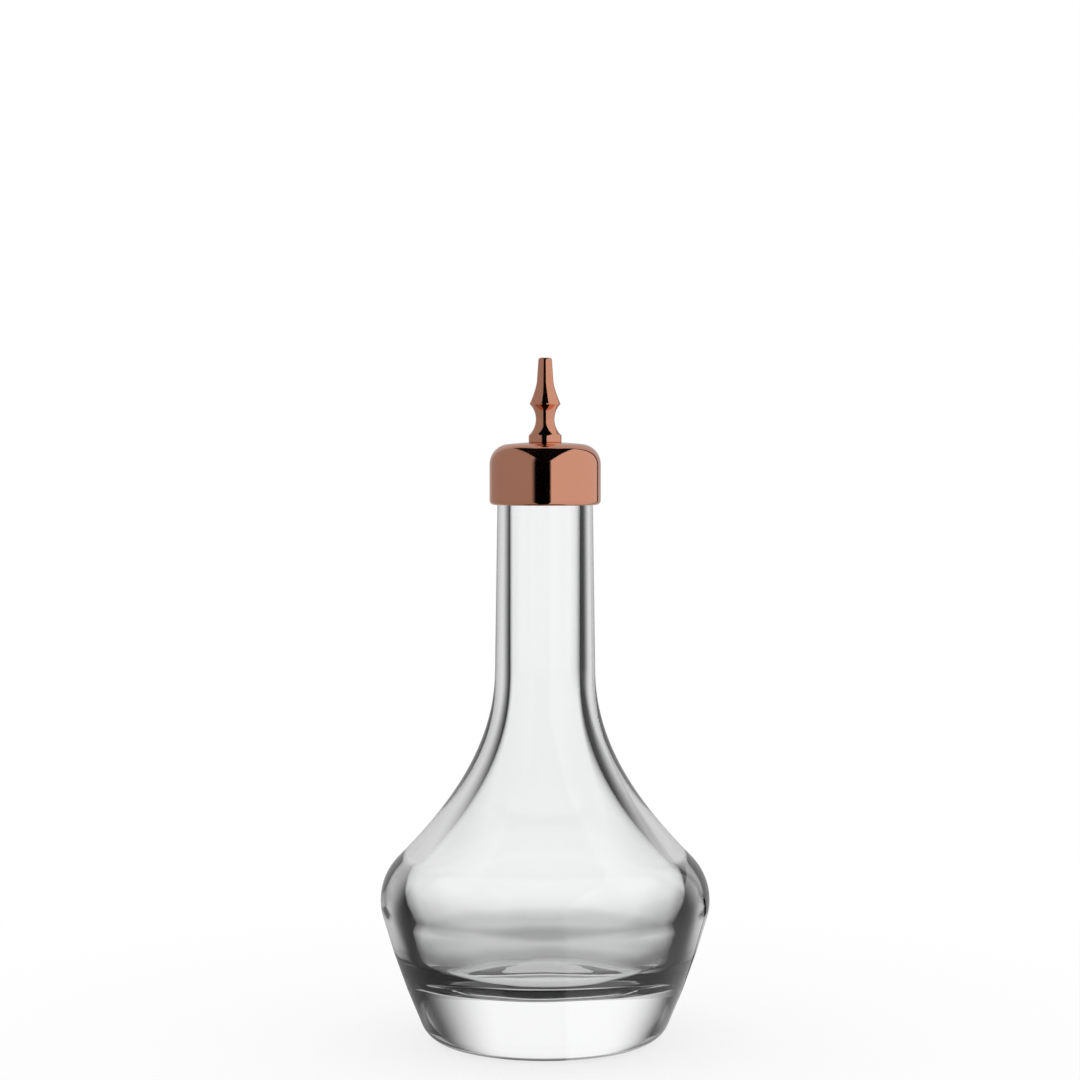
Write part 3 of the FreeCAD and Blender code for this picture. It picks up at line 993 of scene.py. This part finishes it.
@dataclass
class Studio:
    """Camera, floor and soft light round the bottle, in millimetres, degrees, slopes and shares of white."""

    camera_distance: float = 562.2
    camera_height: float = 126.95
    camera_left: float = 1.09
    camera_clip: Span = (10.0, 20000.0)
    aim_height: float = 106.41
    focal_px: float = 2651.6
    sensor: float = 36.0
    floor_radius: float = 3000.0
    floor_drop: float = 0.2
    floor_white: float = 0.92
    floor_sides: int = 128
    glow_light: float = 0.75
    glow_edges: Span = (40.0, 200.0)
    # Painted shadow on the floor round the bottle's foot, as the glass shows it: darkest close in, white
    # again further out.
    painted_foot_shade: float = 0.34
    painted_foot_edges: Span = (30.0, 50.0)
    painted_near_shade: float = 0.6
    painted_near_edges: Span = (50.0, 150.0)
    # Painted pool of light on the floor right under the base, for light that went straight through the glass.
    painted_pool_light: float = 0.56
    painted_pool_edges: Span = (18.0, 30.0)
    far_edges: Span = (140.0, 200.0)
    rim_edges: Span = (450.0, 800.0)
    # Turns at which the painted reflection of the screens on the floor brightens, as the glass shows it.
    floor_painted_left: Span = (116.0, 155.0)
    floor_painted_right: Span = (116.0, 162.0)
    floor_bounces: float = 1.0
    left_light: float = 0.35
    left_edges: Span = (-150.0, -24.5)
    left_soft: float = 5.0
    right_light: float = 0.68
    right_edges: Span = (11.5, 136.0)
    right_soft: float = 2.0
    back_light: float = 0.5
    back_edge: float = 142.0
    back_soft: float = 1.0
    side_top: float = 1.95
    back_top: float = 3.5
    top_soft: float = 0.03
    # Painted reflection of the tent's walls on the floor, which metal and glass mirror.
    painted_table_reflection: float = 0.95
    screen_left: Span = (116.0, 157.0)
    screen_right: Span = (129.0, 167.0)
    screen_dark: float = 0.0
    screen_bounced: float = 0.76
    strip_edges: Span = (48.0, 70.0)
    strip_soft: float = 12.0
    strip_shade: float = 0.55
    room_edges: Span = (100.0, 112.0)
    room_bounced: float = 0.04
    room_bounces: float = 1.6
    sky_light: float = 0.7
    sky_edges: Span = (40.0, 62.0)
    lost_light: float = 0.08
    lost_bounces: Span = (2.0, 5.0)
    straight_bounces: float = 0.5
    most_bounces: int = 32
    most_mirrored: int = 24

    def camera(self) -> None:
        """Set the camera where the photograph was taken from."""
        lens = bpy.data.cameras.new("photo_camera")
        lens.sensor_width = self.sensor
        lens.lens = self.sensor * self.focal_px / PHOTO_SIDE_PX
        lens.clip_start, lens.clip_end = (v * MM for v in self.camera_clip)
        camera = bpy.data.objects.new("photo_camera", lens)
        bpy.context.scene.collection.objects.link(camera)
        stand = Vector((-self.camera_left, -self.camera_distance, self.camera_height)) * MM
        aim = Vector((-self.camera_left, 0.0, self.aim_height)) * MM
        camera.location = stand
        camera.rotation_euler = (aim - stand).to_track_quat("-Z", "Y").to_euler()
        bpy.context.scene.camera = camera

    @staticmethod
    def compass(w: NodeWriter, vector: bpy.types.NodeSocket) -> Tuple[bpy.types.NodeSocket, Sockets]:
        """Work out where a vector points.

        Args:
            w: Writer of the nodes.
            vector: The vector, from the bottle's axis outwards.

        Returns:
            Its turn in degrees, 0 on the camera's side and 90 on its right, and its unit vector's X, Y and Z.
        """
        unit = w.add("ShaderNodeVectorMath", operation="NORMALIZE")
        w.link(vector, unit.inputs[0])
        split = w.add("ShaderNodeSeparateXYZ")
        w.link(unit.outputs[0], split.inputs[0])
        x, y, z = split.outputs
        turn = w.math("ARCTAN2", x, w.math("MULTIPLY", y, -1.0))
        return w.math("DEGREES", turn), [x, y, z]

    @staticmethod
    def ring(w: NodeWriter, reach: bpy.types.NodeSocket, edges: Span,
             inside: float, outside: float) -> bpy.types.NodeSocket:
        """Return a value that changes softly from one ring of the floor to the next.

        Args:
            w: Writer of the floor's nodes.
            reach: Distance from the bottle's axis in metres.
            edges: Distances in millimetres between which the value changes.
            inside: Value nearer than both.
            outside: Value further than both.

        Returns:
            The value.
        """
        return w.remap(reach, edges[0] * MM, edges[1] * MM, inside, outside, smooth=True)

    @staticmethod
    def panel(w: NodeWriter, turn: bpy.types.NodeSocket, start: float, end: float,
              soft: float) -> bpy.types.NodeSocket:
        """Return a mask of one upright panel round the bottle.

        Args:
            w: Writer of the nodes.
            turn: Direction round the bottle in degrees.
            start: Where the panel starts.
            end: Where it ends.
            soft: Half the width of its soft edges.

        Returns:
            The mask.
        """
        rise = w.remap(turn, start - soft, start + soft, 0.0, 1.0, smooth=True)
        fall = w.remap(turn, end - soft, end + soft, 1.0, 0.0, smooth=True)
        return w.math("MULTIPLY", rise, fall)

    def screen(self, w: NodeWriter, turn: bpy.types.NodeSocket, bounces: bpy.types.NodeSocket,
               left: Span, right: Span, clear_bounces: float) -> bpy.types.NodeSocket:
        """Return what shows through the glass at each turn: white screens with dark strips between.

        Args:
            w: Writer of the nodes.
            turn: Direction round the bottle in degrees.
            bounces: How often the light was mirrored inside the glass, which dims what is seen.
            left: Turns between which the back screen's left edge brightens.
            right: Turns between which its right edge brightens.
            clear_bounces: How often light from the camera's side is mirrored until it has gone dark.

        Returns:
            The brightness.
        """
        round_ = w.math("ABSOLUTE", turn)
        lit_left = w.remap(round_, *left, 0.0, 1.0, smooth=True)
        lit_right = w.remap(round_, *right, 0.0, 1.0, smooth=True)
        lit = w.blend(lit_left, lit_right, w.math("GREATER_THAN", turn, 0.0))
        room = w.remap(bounces, 0.0, clear_bounces, 1.0, self.room_bounced)
        white = w.remap(bounces, 0.0, 1.0, 1.0, self.screen_bounced)
        side = w.remap(round_, *self.room_edges, 0.0, 1.0, smooth=True)
        strip = self.panel(w, round_, *self.strip_edges, self.strip_soft)
        shade = w.math("MAXIMUM", side, w.math("MULTIPLY", strip, self.strip_shade))
        return w.blend(w.blend(room, self.screen_dark, shade), white, lit)

    def lost(self, w: NodeWriter, bounces: bpy.types.NodeSocket) -> bpy.types.NodeSocket:
        """Return the share of light that is left after so many bounces inside the thick glass."""
        return w.remap(bounces, *self.lost_bounces, 1.0, self.lost_light)

    def tent(self, w: NodeWriter, vector: bpy.types.NodeSocket) -> bpy.types.NodeSocket:
        """Return what polished metal mirrors: two side walls and a back wall, and dark between them.

        Args:
            w: Writer of the nodes.
            vector: Direction from the bottle's axis outwards.

        Returns:
            The brightness.
        """
        turn, (x, y, z) = self.compass(w, vector)
        left = w.math("MULTIPLY", self.panel(w, turn, *self.left_edges, self.left_soft), self.left_light)
        right = w.math("MULTIPLY", self.panel(w, turn, *self.right_edges, self.right_soft), self.right_light)
        over_side = w.math("SUBTRACT", z, w.math("MULTIPLY", w.math("ABSOLUTE", x), self.side_top))
        below_side = w.remap(over_side, -self.top_soft, self.top_soft, 1.0, 0.0, smooth=True)
        sides = w.math("MULTIPLY", w.math("ADD", left, right), below_side)
        past_right = w.remap(turn, self.back_edge - self.back_soft, self.back_edge + self.back_soft, 0.0, 1.0)
        left_end = self.left_edges[0]
        past_left = w.remap(turn, left_end - self.left_soft, left_end + self.left_soft, 1.0, 0.0)
        over_back = w.math("SUBTRACT", z, w.math("MULTIPLY", y, self.back_top))
        below_back = w.remap(over_back, -self.top_soft, self.top_soft, 1.0, 0.0, smooth=True)
        back = w.math("MULTIPLY", w.math("MAXIMUM", past_right, past_left), self.back_light)
        return w.math("ADD", sides, w.math("MULTIPLY", back, below_back))

    def painted_table_light(self, w: NodeWriter, spot: bpy.types.NodeSocket, reach: bpy.types.NodeSocket,
                    bounces: bpy.types.NodeSocket) -> bpy.types.NodeSocket:
        """Return how bright the floor shows through the glass, with its painted light and shade.

        Args:
            w: Writer of the floor's nodes.
            spot: Place on the floor, from the bottle's axis.
            reach: Its distance from the axis in metres.
            bounces: How often the light was mirrored inside the glass.

        Returns:
            The brightness: a painted shadow round the foot with a painted pool of light right under the base,
                painted reflections of the screens, open further out, and as the screens at the horizon.
        """
        turn = self.compass(w, spot)[0]
        straight = w.math("LESS_THAN", bounces, self.straight_bounces)
        # Painted shadow round the bottle's foot, darkest close in and lifting to white further out.
        foot = self.ring(w, reach, self.painted_foot_edges, self.painted_foot_shade, self.painted_near_shade)
        rings = w.blend(foot, 1.0, self.ring(w, reach, self.painted_near_edges, 0.0, 1.0))
        # Painted reflection of the screens on the floor, by turn, near the bottle and again at the horizon.
        painted_screens = self.screen(w, turn, bounces, self.floor_painted_left, self.floor_painted_right, self.floor_bounces)
        far = self.ring(w, reach, self.far_edges, 0.0, 1.0)
        open_floor = w.blend(painted_screens, 1.0, w.math("MULTIPLY", far, straight))
        horizon = self.screen(w, turn, bounces, self.screen_left, self.screen_right, self.room_bounces)
        beyond = w.blend(open_floor, horizon, self.ring(w, reach, self.rim_edges, 0.0, 1.0))
        shown = w.math("MULTIPLY", w.math("MULTIPLY", rings, beyond), self.lost(w, bounces))
        # Painted pool of light right under the base, for light that went straight through the glass.
        under = self.ring(w, reach, self.painted_pool_edges, 1.0, 0.0)
        return w.blend(shown, self.painted_pool_light, w.math("MULTIPLY", under, straight))

    def floor_finish(self) -> bpy.types.Material:
        """Make the floor's finish: matt white with a soft shadow, and its own light in glass and metal: a
        painted shadow and pool of light round the foot and painted reflections of the screens and walls.

        Returns:
            The finish as a material.
        """
        material = bpy.data.materials.new("floor_white")
        material.use_nodes = True
        material.node_tree.nodes.clear()
        w = NodeWriter(material.node_tree)
        path = w.add("ShaderNodeLightPath").outputs
        spot = w.add("ShaderNodeTexCoord").outputs["Object"]
        away = w.add("ShaderNodeVectorMath", operation="LENGTH")
        w.link(spot, away.inputs[0])
        reach = away.outputs["Value"]
        # Painted reflection of the tent's walls on the floor, for glossy rays.
        painted_wall_reflection = w.math("MULTIPLY", self.tent(w, spot), self.painted_table_reflection)
        mirrored = w.blend(1.0, painted_wall_reflection, path["Is Glossy Ray"])
        painted_table = self.painted_table_light(w, spot, reach, path["Glossy Depth"])
        glow = w.add("ShaderNodeEmission")
        w.link(w.blend(mirrored, painted_table, path["Is Transmission Ray"]), glow.inputs["Strength"])
        diffuse = w.add("ShaderNodeBsdfDiffuse")
        diffuse.inputs["Color"].default_value = (self.floor_white, self.floor_white, self.floor_white, 1.0)
        fade = self.ring(w, reach, self.glow_edges, self.glow_light, 1.0)
        through = w.math("MAXIMUM", path["Is Glossy Ray"], path["Is Transmission Ray"])
        plain = w.math("MAXIMUM", w.math("MULTIPLY", path["Is Camera Ray"], fade), through)
        mix = w.add("ShaderNodeMixShader")
        w.link(plain, mix.inputs[0])
        w.link(diffuse.outputs[0], mix.inputs[1])
        w.link(glow.outputs[0], mix.inputs[2])
        w.link(mix.outputs[0], w.add("ShaderNodeOutputMaterial").inputs[0])
        return material

    def floor(self) -> None:
        """Lay a pale round floor under the bottle."""
        mesh = bpy.data.meshes.new("floor")
        work = bmesh.new()
        bmesh.ops.create_circle(work, cap_ends=True, segments=self.floor_sides, radius=self.floor_radius * MM)
        work.to_mesh(mesh)
        work.free()
        mesh.materials.append(self.floor_finish())
        floor = bpy.data.objects.new("floor", mesh)
        floor.location.z = -self.floor_drop * MM
        bpy.context.scene.collection.objects.link(floor)

    def world(self) -> None:
        """Light the bottle from a tent of panels, with white behind it for the camera."""
        world = bpy.data.worlds.new("light_tent")
        bpy.context.scene.world = world
        world.use_nodes = True
        world.node_tree.nodes.clear()
        w = NodeWriter(world.node_tree)
        outwards = w.add("ShaderNodeTexCoord").outputs["Generated"]
        path = w.add("ShaderNodeLightPath").outputs
        bounces = path["Glossy Depth"]
        turn, (_, _, z) = self.compass(w, outwards)
        tilt = w.math("DEGREES", w.math("ARCSINE", z))
        mirrored = w.blend(1.0, self.tent(w, outwards), path["Is Glossy Ray"])
        behind = self.screen(w, turn, bounces, self.screen_left, self.screen_right, self.room_bounces)
        clear = w.blend(behind, self.sky_light, w.remap(tilt, *self.sky_edges, 0.0, 1.0, smooth=True))
        left_over = w.math("MULTIPLY", clear, self.lost(w, bounces))
        through = w.blend(mirrored, left_over, path["Is Transmission Ray"])
        white = w.add("ShaderNodeBackground")
        white.inputs["Color"].default_value = (1.0, 1.0, 1.0, 1.0)
        w.link(w.blend(through, 1.0, path["Is Camera Ray"]), white.inputs["Strength"])
        w.link(white.outputs[0], w.add("ShaderNodeOutputWorld").inputs[0])

    def build(self) -> None:
        """Set up the studio."""
        self.camera()
        self.floor()
        self.world()
        scene = bpy.context.scene
        scene.view_settings.view_transform = "Standard"
        scene.cycles.max_bounces = self.most_bounces
        scene.cycles.glossy_bounces = self.most_mirrored
        scene.cycles.transmission_bounces = self.most_bounces


def main() -> None:
    """Build and dress every piece, then the studio."""
    logging.basicConfig(level=logging.INFO, format="%(name)s %(message)s")
    groups = SurfaceGroups()
    lathe = Lathe()
    glass = GlassFinish(groups).material()
    copper = MetalFinish(groups, "polished_copper", (0.90, 0.41, 0.27),
                         polish=0.07, rubbed=0.03, line_depth=0.0000006).material()
    brass = MetalFinish(groups, "machined_brass", (0.72, 0.50, 0.22),
                        polish=0.22, rubbed=0.08, line_depth=0.000004).material()
    plastic = MouldedFinish(groups, "natural_plastic", (0.80, 0.79, 0.75),
                            rough=0.45, subsurface=0.2, grain=0.00001).material()
    silicone = MouldedFinish(groups, "soft_silicone", (0.62, 0.62, 0.60),
                             rough=0.6, subsurface=0.3, grain=0.00001).material()
    GlassBottle(lathe, glass).build()
    DasherTop(lathe, copper, plastic, brass).build()
    Stopper(plastic, silicone).build()
    Studio().build()


if __name__ == "__main__":
    main()
